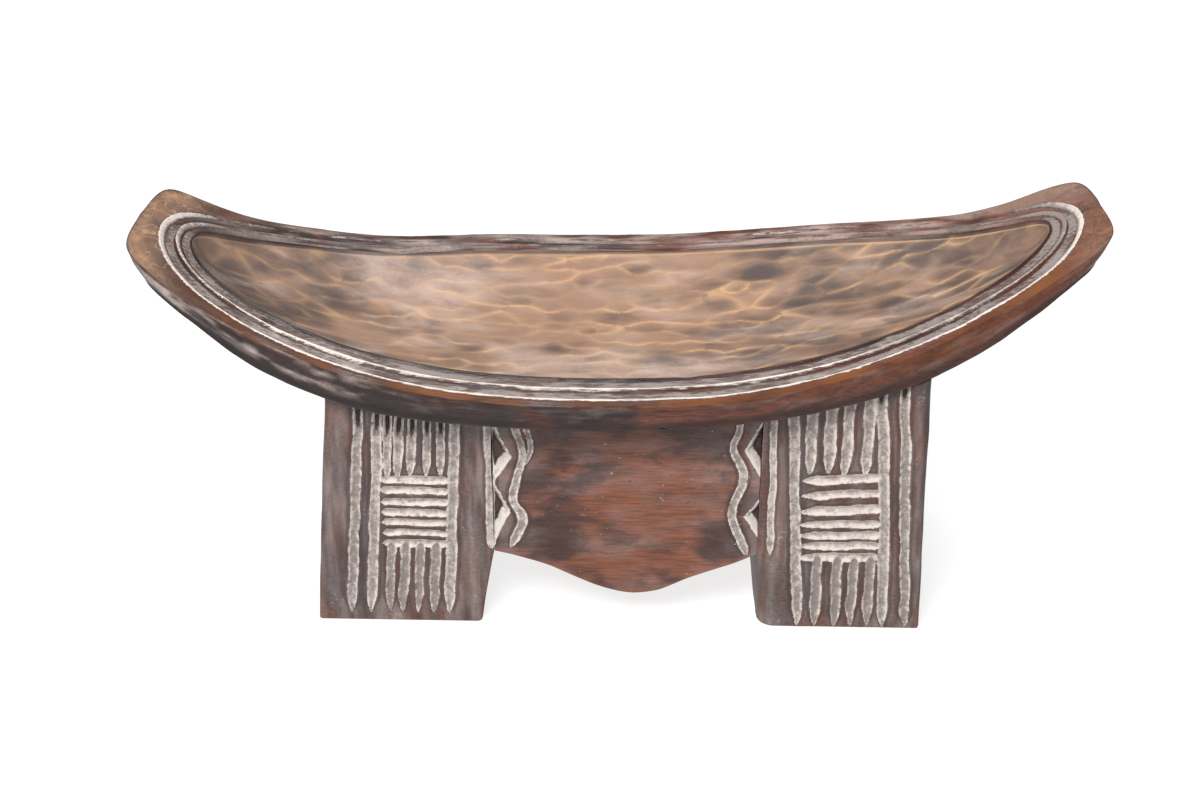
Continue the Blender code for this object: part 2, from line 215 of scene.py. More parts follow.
def markOf(name):
    return addNode("ShaderNodeAttribute", attribute_name=name).outputs["Fac"]


def startFinish(name):
    material = bpy.data.materials.new(name)
    material.use_nodes = True
    making["tree"] = material.node_tree
    place = addNode("ShaderNodeTexCoord").outputs["Object"]
    return material, material.node_tree.nodes["Principled BSDF"], place


def addRelief(shader, height, strength, distance):
    relief = addNode("ShaderNodeBump")
    wire(strength, relief, "Strength")
    wire(distance * mm, relief, "Distance")
    wire(height, relief, "Height")
    wire(relief.outputs[0], shader, "Normal")


chalk = {
    "bright": (0.56, 0.50, 0.455, 1.0), "grey": (0.205, 0.170, 0.158, 1.0),
    "bare": (0.085, 0.055, 0.046, 1.0), "roughness": 0.80, "bareRoughness": 0.6,
    "bump": 0.55, "bumpHeight": 0.3, "gloss": 0.2,
}
clays = {
    "whiteChalk": {"fine": (0.55, 0.55, 0.55), "patch": (2.6, 2.6, 2.6), "pit": (0.9, 0.9, 0.9)},
    "rimChalk": {"fine": (3.2, 0.6, 0.6), "patch": (9.0, 1.8, 2.6), "pit": (6.0, 0.7, 0.9)},
}

everyWood = {"fine": (0.7, 0.7, 0.7), "speck": (1.6, 1.6, 1.2), "bumpHeight": 0.35}
woods = {
    "dishWood": {
        "base": (0.034, 0.022, 0.021, 1.0), "red": (0.120, 0.038, 0.024, 1.0),
        "dark": (0.013, 0.010, 0.010, 1.0), "worn": (0.150, 0.057, 0.023, 1.0),
        "inside": (0.270, 0.162, 0.110, 1.0), "insideDark": (0.075, 0.054, 0.048, 1.0),
        "insideWorn": (0.48, 0.295, 0.165, 1.0), "haze": (0.45, 0.36, 0.32, 1.0),
        "grain": (9.0, 0.8, 0.8), "cloud": (20.0, 9.0, 9.0), "scratches": (8.0, 8.0, 8.0),
        "roughness": 0.34, "hazeRoughness": 0.5, "bump": 0.5, "gloss": 0.20,
    },
    "legWood": {
        "base": (0.092, 0.062, 0.056, 1.0), "red": (0.165, 0.068, 0.047, 1.0),
        "dark": (0.022, 0.016, 0.016, 1.0), "worn": (0.30, 0.150, 0.075, 1.0),
        "haze": (0.29, 0.245, 0.235, 1.0), "grain": (1.6, 3.0, 0.45), "cloud": (4.0, 9.0, 22.0),
        "roughness": 0.5, "hazeRoughness": 0.7, "bump": 1.0, "gloss": 0.35,
    },
    "panelWood": {
        "base": (0.056, 0.025, 0.020, 1.0), "red": (0.200, 0.066, 0.033, 1.0),
        "dark": (0.024, 0.015, 0.014, 1.0), "worn": (0.36, 0.150, 0.065, 1.0),
        "haze": (0.30, 0.24, 0.23, 1.0), "grain": (11.0, 3.0, 0.6), "cloud": (15.0, 9.0, 8.0),
        "roughness": 0.42, "hazeRoughness": 0.6, "bump": 0.45, "gloss": 0.30,
    },
}


def makeWood(name):
    # marks: arris (worn ridge or edge), tone (light or dark cut), a film mark (greyish film, and a painted
    # sheen of the lamps on the dish), dust (chalk) and a darkening mark (painted shade in hollows, under
    # the rest and on down-facing faces, and darker wood); on the rest also inner (inside of the dish) and
    # scratch (golden crossing lines)
    look = woods[name]
    material, shader, place = startFinish(name)
    grain = noiseOf(place, look["grain"], detail=4.0, roughness=0.6)
    cloud = noiseOf(place, look["cloud"], detail=3.0, distortion=0.4)
    fine = noiseOf(place, everyWood["fine"], detail=2.0)
    speck = noiseOf(place, everyWood["speck"], detail=4.0, roughness=0.7)
    arris, tone, haze = markOf("arris"), markOf("tone"), markOf("haze")
    dust, gloom = markOf("dust"), markOf("gloom")

    redness = plus(cloud, times(tone, 0.35))
    colour = blendColour(ramp(redness, 0.35, 0.70), look["base"], look["red"])
    streak = ramp(grain, 0.36, 0.60, 0.55, 0.0)
    dark, worn = look["dark"], look["worn"]
    if "inside" in look:
        inner = markOf("inner")
        light = plus(tone, times(cloud, 1.1))
        inside = blendColour(ramp(light, 0.05, 1.15), look["insideDark"], look["inside"])
        colour = blendColour(inner, colour, inside)
        streak = times(streak, ramp(inner, 0.0, 1.0, 1.0, 0.28))
        dark = blendColour(inner, dark, look["insideDark"])
        worn = blendColour(inner, worn, look["insideWorn"])
    colour = blendColour(streak, colour, dark)
    patchy = plus(cloud, times(fine, 0.3))
    rubbed = times(arris, ramp(patchy, 0.35, 0.75, 0.45, 1.0))
    colour = blendColour(rubbed, colour, worn)
    if "inside" in look:
        crossing = noiseOf(place, look["scratches"], detail=1.5, distortion=0.5)
        crossing = maths("ABSOLUTE", maths("SUBTRACT", crossing, 0.5))
        line = ramp(crossing, 0.0, 0.022, 1.0, 0.0)
        golden = times(markOf("scratch"), line)
        colour = blendColour(golden, colour, look["insideWorn"])
    # greyish film colour, which on the dish is a painted sheen of the lamps
    hazy = plus(cloud, swing(speck, 0.8))
    hazy = times(haze, ramp(hazy, 0.2, 0.7, 0.4, 1.0))
    colour = blendColour(hazy, colour, look["haze"])
    # painted shade, with some darker wood: the darkening mark blends in the dark colour
    colour = blendColour(gloom, colour, look["dark"])

    chalkEdge = plus(dust, swing(speck, 1.3))
    chalkAmount = times(ramp(chalkEdge, 0.30, 0.75), ramp(dust, 0.0, 0.35))
    chalkColour = blendColour(ramp(fine, 0.3, 0.7), chalk["grey"], chalk["bright"])
    colour = blendColour(chalkAmount, colour, chalkColour)
    wire(colour, shader, "Base Color")

    gloss = plus(look["roughness"], swing(fine, 0.22))
    gloss = plus(gloss, times(haze, look["hazeRoughness"] - look["roughness"]))
    gloss = plus(gloss, times(chalkAmount, 0.4), clamp=True)
    wire(gloss, shader, "Roughness")
    height = plus(times(grain, 0.7), times(fine, 0.4))
    height = plus(height, times(chalkAmount, 0.5))
    addRelief(shader, height, look["bump"], everyWood["bumpHeight"])
    sheen = times(ramp(arris, 0.0, 0.6, 1.0, 0.15), look["gloss"])
    wire(sheen, shader, "Specular IOR Level")
    return material


def makeChalk(name):
    # marks: cover (how thick the clay lies) and shade (greyer clay; kept low on cut lips and lit groove
    # walls, where the lighter chalk is partly a painted highlight)
    look = clays[name]
    material, shader, place = startFinish(name)
    fine = noiseOf(place, look["fine"], detail=3.0, roughness=0.65)
    patch = noiseOf(place, look["patch"], detail=5.0, roughness=0.7)
    pit = noiseOf(place, look["pit"], detail=4.0, roughness=0.7)
    cover, shade = markOf("cover"), markOf("shade")
    grey = plus(shade, swing(patch, 1.7))
    grey = plus(grey, swing(fine, 0.9))
    colour = blendColour(ramp(grey, 0.1, 0.9), chalk["bright"], chalk["grey"])
    through = plus(cover, swing(pit, 1.5))
    bare = ramp(through, 0.02, 0.32, 1.0, 0.0)
    colour = blendColour(bare, colour, chalk["bare"])
    wire(colour, shader, "Base Color")
    gloss = ramp(bare, 0.0, 1.0, chalk["roughness"], chalk["bareRoughness"])
    wire(gloss, shader, "Roughness")
    height = plus(times(fine, 0.6), times(bare, -0.8))
    addRelief(shader, height, chalk["bump"], chalk["bumpHeight"])
    wire(chalk["gloss"], shader, "Specular IOR Level")
    return material


materials = {name: makeWood(name) for name in woods}
materials.update({name: makeChalk(name) for name in clays})
print("finishes made")


# The rest: a closed ring of points for every line round it

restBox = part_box("rest")
rest = {
    "halfLength": (restBox[1][0] - restBox[0][0]) / 2 / mm,
    "curveLength": 180.0, "rimHeight": 116.1, "rise": (43.5, 47.0), "risePower": (3.16, 2.39),
    "halfWidth": 64.4, "endHalfWidth": (26.2, 22.8), "widthPower": 2.09,
    "edgeDepth": 12.0, "edgeSwell": 3.5, "swellPlace": 112.0, "swellReach": 44.0,
    "endThinning": 5.5, "thinning": (125, 172),
    "edgeRounding": 1.4, "bandSlope": 0.18, "belly": 6.0, "dishLip": 1.2, "dishDepth": 5.3,
    "undercutSide": 1.5, "undercutEnd": 9.5, "endExtra": 5.2,
    "outlineCorner": (100, 0.31), "grooveCorner": (14, 0.5), "dishCorner": (10, 0.5),
    "endSlant": (0.174, 0.155), "endShift": (3.0, 1.7), "slanting": (125, 183), "rearEnding": (150, 182),
    "rearLine": ((-183, -0.2), (-156, -0.6), (-125, 0.8), (-96, 0.4), (-50, 1.8), (-15, 0.9), (18, 1.0),
                 (50, 2.3), (84, 2.7), (113, 0.7), (141, -1.4), (156, -1.3), (172, 0.3), (183, 0.4)),
    "rearWiden": 0.25, "rearShift": 2.3, "band": 14.2, "roundingInsets": (0.25, 0.6, 1.0),
    "bandStart": 1.4, "columns": 420, "endBunching": 0.45, "bandRings": 37, "dishRings": 57,
    "sideRings": 13, "undersideRings": 9, "sidePull": 3.0,
    "rubbedChalk": ((0.62, 3.9, 0.9), (0.50, 6.4, 1.5), (0.62, 9.6, 0.8), (0.45, 12.4, 1.4)),
    "endWood": (0.80, 0.25), "endScratch": (0.4, 0.15), "endTone": (0.02, -0.30), "endWorn": (0.6, 0.3),
}
rimGrooves = (
    {"outer": 2.4, "floor": 5.0, "inner": 7.7, "ridge": 8.3, "depth": 1.6, "wall": 3.8,
     "chalkReach": 1.30, "chalkShade": -0.28},
    {"outer": 8.5, "floor": 10.8, "inner": 13.6, "ridge": 14.2, "depth": 1.4, "wall": 9.5,
     "chalkReach": 1.00, "chalkShade": 0.20},
)
gougeMarks = {
    "length": 13.0, "width": 8.4, "depth": 0.55, "rowShift": 0.5, "tilt": 0.30,
    "lengthScatter": 0.42, "widthScatter": 0.38, "sizeScatter": 0.25,
}


def endValue(pair, x):
    return np.where(x < 0, pair[0], pair[1])


def alongRest(x):
    return np.abs(x / rest["curveLength"])


def rimHeight(x):
    return rest["rimHeight"] + endValue(rest["rise"], x) * alongRest(x) ** endValue(rest["risePower"], x)


def halfWidth(x, inset=0.0):
    taper = endValue(rest["endHalfWidth"], x) - rest["halfWidth"]
    slope = taper * rest["widthPower"] * alongRest(x) ** (rest["widthPower"] - 1) / rest["curveLength"]
    return rest["halfWidth"] + taper * alongRest(x) ** rest["widthPower"] - inset * np.hypot(1, slope)


def edgeDepth(x):
    swell = rest["edgeSwell"] * bump(np.abs(x), rest["swellPlace"], rest["swellReach"])
    return rest["edgeDepth"] + swell - rest["endThinning"] * step(np.abs(x), *rest["thinning"])


def undersideHeight(x, y):
    across = np.minimum(np.abs(y) / halfWidth(x), 1)
    return rimHeight(x) - edgeDepth(x) - rest["belly"] * (1 - across**2)


def ringPlan(sideInset, endInset, corner):
    # a line round the rest from above, starting at the left end and running along the front
    count = 2 * rest["columns"]
    turn = np.arange(count) / count
    turn = 2 * np.pi * (turn + rest["endBunching"] * np.sin(4 * np.pi * turn) / (4 * np.pi))
    x = -(rest["halfLength"] - endInset) * np.cos(turn)
    full = np.maximum(1 - np.abs(np.cos(turn)) ** corner[0], 0) ** corner[1]
    rear = (np.arange(count) > count // 2) * (1 - step(np.abs(x), *rest["rearEnding"]))
    wider = sideInset * rest["rearWiden"] + rest["rearShift"] * step(sideInset, 0.0, 2.5)
    y = halfWidth(x, sideInset + rear * wider) * full
    return x, np.where(np.arange(count) <= count // 2, -y, y)


def settle(x, y, z):
    # the ends run at a slant, and the rear edge has a line of its own
    back = np.clip(y / rest["halfWidth"], -1, 1)
    lift = curveThrough(rest["rearLine"], x)
    slide = endValue(rest["endSlant"], x) * y + endValue(rest["endShift"], x)
    x = x - np.sign(x) * slide * step(np.abs(x), *rest["slanting"])
    return x, y, z + lift * step(back, 0.0, 0.42)


def grooveWander(x, y):
    return 0.30 * smoothNoise(x / 21, y / 21, 3.1, 11) + 0.10 * smoothNoise(x / 5, y / 5, 1.7, 12)


def grooveProfile(inset, x, y):
    # depth of the two grooves at a distance in from the edge
    depth = np.zeros_like(x)
    t = inset + grooveWander(x, y)
    for number, groove in enumerate(rimGrooves):
        falling = step(t, groove["outer"], groove["floor"]) ** 0.8
        rising = step(t, groove["inner"], groove["ridge"])
        uneven = 1 + 0.16 * roughNoise(x / 9, y / 9, number, 15, 2)
        depth = depth + groove["depth"] * uneven * np.clip(falling - rising, 0, 1)
    return depth


def scoops(x, y, look, seed):
    # overlapping gouge cuts: lowest of many shallow bowls, with a ridge where two meet
    u, v = x / look["length"], y / look["width"]
    row = np.floor(v).astype(np.int64)
    best = np.full(x.shape, 9.0)
    second = np.full(x.shape, 9.0)
    tone, nearX, nearY, otherX, otherY = (np.zeros(x.shape) for _ in range(5))
    for dj in (-1, 0, 1):
        j = row + dj
        shifted = u + look["rowShift"] * (j % 2)
        column = np.floor(shifted).astype(np.int64)
        for di in (-1, 0, 1):
            i = column + di
            chances = [hashValue(i, j, 0, seed + number) for number in range(5)]
            cx = i + 0.5 + look["lengthScatter"] * chances[0]
            cy = j + 0.5 + look["widthScatter"] * chances[1]
            lean = look["tilt"] * chances[2]
            dx, dy = shifted - cx, v - cy
            dy = dy + lean * dx * look["length"] / look["width"]
            size = 1 + look["sizeScatter"] * chances[3]
            q = (dx * dx + dy * dy) / size**2
            nearer = q < best
            runnerUp = (q >= best) & (q < second)
            otherX = np.where(nearer, nearX, np.where(runnerUp, dx, otherX))
            otherY = np.where(nearer, nearY, np.where(runnerUp, dy, otherY))
            nearX, nearY = np.where(nearer, dx, nearX), np.where(nearer, dy, nearY)
            second = np.where(nearer, best, np.minimum(second, q))
            tone = np.where(nearer, chances[4], tone)
            best = np.where(nearer, q, best)
    # cuts run lengthwise, so ridges between neighbours in one row are faint
    rise, run = np.abs(otherY - nearY), np.abs(otherX - nearX)
    ridge = np.exp(-(np.sqrt(second) - np.sqrt(best)) / 0.17) * step(rise - 0.55 * run, -0.45, 0.35)
    return best, ridge, tone


def buildRest():
    rings = []
    marks = {key: [] for key in ("inner", "scratch", "arris", "tone", "haze", "dust", "gloom")}

    def add(x, y, z, **values):
        rings.append(np.stack(settle(x, y, z), axis=-1))
        for key in marks:
            marks[key].append(np.broadcast_to(values.get(key, 0.0), x.shape).astype(float))

    def sideTone(x):
        return np.clip(x / 150, -1, 1) + 0.5 * smoothNoise(x / 17, 0, 0, 31)

    # underside, from the middle out
    for fraction in np.linspace(0.03, 0.985, rest["undersideRings"]) ** 0.8:
        x, y = ringPlan(rest["undercutSide"], rest["undercutEnd"], rest["outlineCorner"])
        x, y = x * (0.94 + 0.06 * fraction), y * fraction
        z = undersideHeight(x, y) + 0.25 * roughNoise(x / 12, y / 7, 0, 41, 2)
        # painted shade: the underside is darkened as shade under the rest
        add(x, y, z, tone=-0.5, gloom=0.35)

    # side: a tall lower facet, then a narrow bevel up to the worn edge
    lowX, lowY = ringPlan(rest["undercutSide"], rest["undercutEnd"], rest["outlineCorner"])
    lowZ = undersideHeight(lowX, lowY)
    highX, highY = ringPlan(0.0, 0.0, rest["outlineCorner"])
    highZ = rimHeight(highX) - rest["edgeRounding"]
    for number in range(rest["sideRings"]):
        t = number / (rest["sideRings"] - 1)
        out = np.sin(np.pi * t) * 0.35 + 0.9 * bump(t, 0.10, 0.12) * (t > 0)
        out = out - 0.7 * step(t, 0.72, 1.0) * (1 - t)
        away = np.hypot(highX / rest["sidePull"], highY) + tiny
        x = lowX + (highX - lowX) * t ** 0.7 + out * highX / rest["sidePull"] / away
        y = lowY + (highY - lowY) * t ** 0.7 + out * highY / away
        around = np.sign(y)
        z = lowZ + (highZ - lowZ) * t
        facet = 0.30 * roughNoise(x / 14, t * 1.7, around, 51, 2)
        facet = facet + 0.12 * smoothNoise(x / 4, t * 4, around, 52)
        pushed = facet + 1.6 * bump(x, 15.5, 2.2) * bump(t, 0.05, 0.18) * (y < 0)  # a chip at the front
        x, y = x - pushed * highX / rest["sidePull"] / away, y - pushed * highY / away
        around = np.sign(y)
        streaky = 0.5 + 0.5 * roughNoise(x / 22, t * 5, around, 53, 2)
        edge = 0.75 * step(t, 0.84, 1.0) + 0.65 * bump(t, 0.70, 0.16) * step(x, 20, 90)
        # painted shade on the lower, down-facing facet of the side, joined by dark streaks of the wood
        lower = 0.80 * step(t, 0.50, 0.25) * (0.75 + 0.25 * roughNoise(x / 18, t * 3, around, 54, 2))
        streaks = step(roughNoise(x / 20, t * 6, around, 56, 3), 0.05, 0.6)
        lower = np.maximum(lower, 0.55 * streaks * (1 - 0.65 * step(x, 0, 70)))
        hazy = (0.16 + 0.6 * step(x, -60, -130)) * step(t, 0.2, 0.5) * risen(x / 9, t * 6, around, 55, 3)
        add(x, y, z, arris=np.clip(edge * streaky, 0, 1), tone=sideTone(x),
            gloom=np.clip(lower, 0, 1), haze=hazy)

    # rounding over the edge, then the band with its two grooves
    insets = np.linspace(rest["bandStart"], rest["band"], rest["bandRings"])
    for inset in (*rest["roundingInsets"], *insets):
        rounding = step(inset, 0.0, 1.6)
        endInset = inset + rest["endExtra"] * step(inset, 0.0, 1.5)
        x, sharpY = ringPlan(inset, endInset, rest["outlineCorner"])
        x, softY = ringPlan(inset, endInset, rest["grooveCorner"])
        y = sharpY + (softY - sharpY) * rounding
        z = rimHeight(x) + rest["bandSlope"] * inset - rest["edgeRounding"] * (1 - rounding) ** 1.6
        z = z - grooveProfile(inset, x, y) + 0.10 * smoothNoise(x / 6, y / 6, inset / 3, 61)
        z = z + 0.05 * smoothNoise(x / 1.8, y / 1.8, inset, 62)
        worn = 1.1 * bump(inset, 1.0, 1.8) + 0.5 * bump(inset, 8.35, 0.35)
        atEnd = step(np.abs(x), 158, 174) * (inset < 2.2)
        rear = step(y, 0, 25) * (1 - 0.5 * step(np.abs(x), 120, 165))
        chalky = max(amount * bump(inset, place, reach) for amount, place, reach in rest["rubbedChalk"])
        patch = (0.85 + 0.35 * smoothNoise(x / 16, y / 16, inset / 4, 63)) * (1 - 0.55 * rear)
        patch = patch * (1 - 0.45 * step(np.abs(x), 110, 160))
        worn = worn * (0.55 + 0.6 * smoothNoise(x / 14, y / 14, 1.0, 65)) * (1 - 0.75 * rear)
        endWood = atEnd * endValue(rest["endWood"], x)
        hazy = 0.55 * rear * np.clip(0.6 + roughNoise(x / 20, inset / 2, 0, 66, 3), 0, 1)
        endEdge = bump(inset, 0.6, 0.38) * endValue(rest["endWorn"], x)
        endEdge = endEdge * (0.6 + 0.6 * roughNoise(y / 4, inset, 0.0, 64, 2))
        tone = sideTone(x) * 0.6 * (1 - endWood) + endValue(rest["endTone"], x) * atEnd
        # painted shadow: dark lines where each groove's inner wall falls into shade, by the ridge and by
        # the dish
        add(x, y, z, inner=endWood, scratch=atEnd * endValue(rest["endScratch"], x), tone=tone,
            arris=np.clip(worn + (endEdge - worn) * atEnd, 0, 1), dust=np.clip(chalky * patch, 0, 1),
            haze=hazy, gloom=0.7 * bump(inset, 13.9, 0.6) + 0.5 * bump(inset, 8.1, 0.45))

    # the dish, from its lip to the middle
    for fraction in np.linspace(0.995, 0.012, rest["dishRings"]):
        x, y = ringPlan(rest["band"], rest["band"] + rest["endExtra"], rest["dishCorner"])
        x, y = x * (0.95 + 0.05 * fraction), y * fraction
        drop = rest["dishLip"] + rest["dishDepth"] * (1 - fraction**2)
        cutX = x + 2.5 * smoothNoise(x / 30, y / 18, 0, 71)
        cutY = y + 1.5 * smoothNoise(x / 18, y / 14, 5, 72)
        best, ridge, tone = scoops(cutX, cutY, gougeMarks, 73)
        z = rimHeight(x) + rest["bandSlope"] * rest["band"] - drop
        away = step(fraction, 0.995, 0.94)
        z = z + gougeMarks["depth"] * (np.minimum(best, 0.55) - 0.35) * away
        # painted reflection: whitish sheen of the soft lamps at the left rear and the front middle of the
        # dish, with loose patches
        haze = 0.50 * bump(x, -70, 34) * bump(y, 26, 16) + 0.55 * bump(x, -5, 45) * bump(y, -38, 12)
        haze = haze + 0.30 * np.clip(roughNoise(x / 19, y / 10, 0, 75, 3), -0.3, 1)
        broad = 0.30 * roughNoise(x / 26, y / 11, 4, 77, 3)
        leftEnd = step(x, -60, -150)
        sides = 0.12 * step(x, 20, 45) + 0.40 * step(x, 40, 130) + 0.55 * leftEnd
        lip = bump(fraction, 0.972, 0.012) * (0.35 + 0.65 * step(x, -60, 60))
        bowl = 1 - np.clip(best / 0.5, 0, 1)
        strong = 0.20 + 0.80 * step(roughNoise(x / 17, y / 9, 2, 74, 2), -0.5, 0.6)
        veins = ridge * strong * (1 - 0.70 * leftEnd)
        blot = np.clip(smoothNoise(x / 19, y / 8, 3, 76) - 0.15, 0, 1) * (0.35 + 0.65 * bump(x, 50, 70))
        tone = 0.27 * tone * (1 - 0.6 * leftEnd - 0.5 * step(x, 90, 150)) - 0.16
        # painted shade: a dark ring just inside the dish's lip, where the band stands over it
        add(x, y, z, inner=1.0, arris=np.clip(np.maximum(veins, lip), 0, 1),
            tone=0.43 + tone * bowl + broad - sides - 0.75 * blot, haze=np.clip(haze, 0, 1),
            gloom=0.45 * step(fraction, 0.978, 0.995))

    count = 2 * rest["columns"]
    points = np.concatenate(rings)
    column = np.arange(count)
    after = (column + 1) % count
    quads = []
    for ring in range(len(rings) - 1):
        low, high = ring * count, (ring + 1) * count
        quads.append(np.stack([low + column, low + after, high + after, high + column], axis=-1))
    # strips across the middle of the underside and of the dish
    half = count // 2
    front = np.arange(1, half - 1)
    for start, order in ((0, 1), ((len(rings) - 1) * count, -1)):
        strip = [front, count - front, count - front - 1, front + 1]
        quads.append(start + np.stack(strip, axis=-1)[:, ::order])
    quads = np.concatenate(quads)
    flat = {key: np.concatenate(values) for key, values in marks.items()}
    makePiece("carvedRest", points, quads, flat, materials["dishWood"], ["rest"])
    return np.array(rings)


restRings = buildRest()
print("rest carved")


# Chalk skins: a thin closed layer that follows the wood under it


def chalkSkin(name, nodes, sheets, clay="whiteChalk"):
    # each sheet: a grid of wood points, the way out of the wood, how much chalk lies there,
    # how grey it is, and whether the grid closes on itself
    allPoints, allQuads, covers, shades = [], [], [], []
    offset = 0
    for points, outward, cover, shade, closed in sheets:
        rows, columns = cover.shape
        index = np.arange(rows * columns).reshape(rows, columns)
        if closed:
            index = np.concatenate([index, index[:, :1]], axis=1)
        corners = [index[:-1, :-1], index[:-1, 1:], index[1:, 1:], index[1:, :-1]]
        corners = np.stack(corners, axis=-1).reshape(-1, 4)
        kept = corners[cover.ravel()[corners].max(axis=1) > 0]
        used, inverse = np.unique(kept, return_inverse=True)
        quads = inverse.reshape(-1, 4)
        thick = cover.ravel()[used] * chalkLook["thickness"]
        thick = np.clip(thick, -chalkLook["tuck"], chalkLook["most"])
        wood, way = points.reshape(-1, 3)[used], outward.reshape(-1, 3)[used]
        top, back = wood + way * thick[:, None], wood - way * chalkLook["bedding"]
        count = len(used)
        ends = np.concatenate([quads[:, [corner, (corner + 1) % 4]] for corner in range(4)])
        keys = ends.min(axis=1) * count + ends.max(axis=1)
        _, first, uses = np.unique(keys, return_index=True, return_counts=True)
        rim = ends[first[uses == 1]]
        walls = np.stack([rim[:, 1], rim[:, 0], rim[:, 0] + count, rim[:, 1] + count], axis=-1)
        allPoints += [top, back]
        allQuads.append(np.concatenate([quads, quads[:, ::-1] + count, walls]) + offset)
        covers += [cover.ravel()[used]] * 2
        shades += [shade.ravel()[used]] * 2
        offset += 2 * count
    marks = {"cover": np.concatenate(covers), "shade": np.concatenate(shades)}
    return makePiece(name, np.concatenate(allPoints), np.concatenate(allQuads), marks,
                     materials[clay], nodes)


chalkLook = {"thickness": 0.55, "most": 0.32, "tuck": 0.12, "bedding": 0.35}


# Carved lines on the legs and panel, as strokes of a gouge

leftLines = {
    "lean": 0.72e-3, "foot": 4.3,
    "sides": ({"x": (-97.9, -97.9), "top": 102.0, "width": 4.4, "open": 84.0},
              {"x": (-66.9, -66.9), "top": 99.0, "width": 4.7, "open": 88.0}),
    "edge": {"x": (-105.8, -105.8), "top": 105.0, "width": 4.3, "open": 86.0},
    "uppers": (-93.9, -89.0, -83.5, -77.6, -72.1), "upperTop": 104.0, "upperEnd": 69.5,
    "upperWidth": 3.9, "upperOpen": 83.0,
    "lowers": (-90.6, -85.1, -79.4, -73.2), "lowerTop": 36.5, "lowerWidth": 4.3,
    "rungs": (67.9, 62.7, 57.4, 52.4, 47.7, 42.8, 37.6), "rungEnds": (-91.5, -65.4),
    "rungWidth": 3.5, "rungRise": -0.012, "rungTips": (1.5, 1.5),
    "seam": {"x": (-49.6, -49.6), "foot": 36.0, "top": 98.0, "width": 3.6},
    "pits": (((-47.2, 92.5), (-41.6, 79.5), (-47.9, 68.6)), ((-47.9, 66.4), (-42.4, 54.0), (-48.3, 40.4))),
    "wave": ((-39.9, 99.0), (-39.3, 91.8), (-37.0, 82.7), (-39.1, 68.9), (-40.6, 59.6), (-37.5, 50.2),
             (-41.8, 37.0)),
    "echo": ((-36.2, 99.0), (-35.0, 91.0), (-33.6, 83.5), (-35.6, 75.5)), "waveWidth": (2.9, 4.4),
    "into": 1, "seed": 100,
}
rightLines = {
    "lean": 0.0, "foot": 1.2,
    "sides": ({"x": (64.9, 67.5, 70.6), "top": 103.0, "width": 4.4, "open": 200.0},
              {"x": (97.0, 101.9, 104.1), "top": 110.0, "width": 4.6, "open": 99.0}),
    "edge": {"x": (105.6, 109.3, 113.2), "top": 113.0, "width": 4.2, "open": 102.0},
    "uppers": (72.4, 78.8, 85.9, 93.1), "upperTop": 106.0, "upperEnd": 72.6,
    "upperWidth": 4.6, "upperOpen": 200.0,
    "lowers": (77.0, 84.8, 91.3, 97.8), "lowerTop": 33.5, "lowerWidth": 4.6,
    "rungs": (71.0, 64.0, 56.6, 50.2, 44.7, 39.9, 34.3), "rungEnds": (69.6, 101.2),
    "rungWidth": 4.1, "rungRise": 0.055, "rungTips": (6, 2.5),
    "seam": {"x": (57.6, 58.8), "foot": 35.6, "top": 99.0, "width": 3.0},
    "pits": (((53.6, 97.0), (47.7, 83.5), (57.1, 66.4)), ((56.6, 64.6), (48.4, 53.3), (57.6, 37.2))),
    "wave": ((45.3, 100.0), (44.7, 93.9), (43.1, 84.8), (47.4, 71.1), (43.0, 55.5), (49.6, 34.8)),
    "echo": (), "waveWidth": (3.0, 4.2), "into": -1, "seed": 200,
}
cutting = {
    "depth": 1.7, "seamDepth": 1.2, "rungDepth": 1.8, "waveDepth": 1.2, "echoDepth": 0.9, "pitDepth": 2.4,
    "echoWidth": (2.9, 2.2), "waveSteps": 28, "wobble": 0.32, "tremble": 0.14, "swell": 0.11,
}


def stroke(path, width, depth, tips, **more):
    # a gouge cut; tips are the lengths of its pointed ends, width may be given at both ends
    width = width if isinstance(width, tuple) else (width, width)
    cut = {"path": path, "width": width, "depth": depth, "tips": tips}
    # open: height above which the core is bare; clay: how much is left; shade: its greyness;
    # fill: clay in the core against that on the edges
    return {**cut, "open": None, "clay": 1.0, "shade": 0.4, "fill": 1.0, **more}


def leaning(lines, xs, top, low):
    heights = np.linspace(top, low, len(xs))
    return tuple((x * (1 - lines["lean"] * z), z) for x, z in zip(xs, heights))


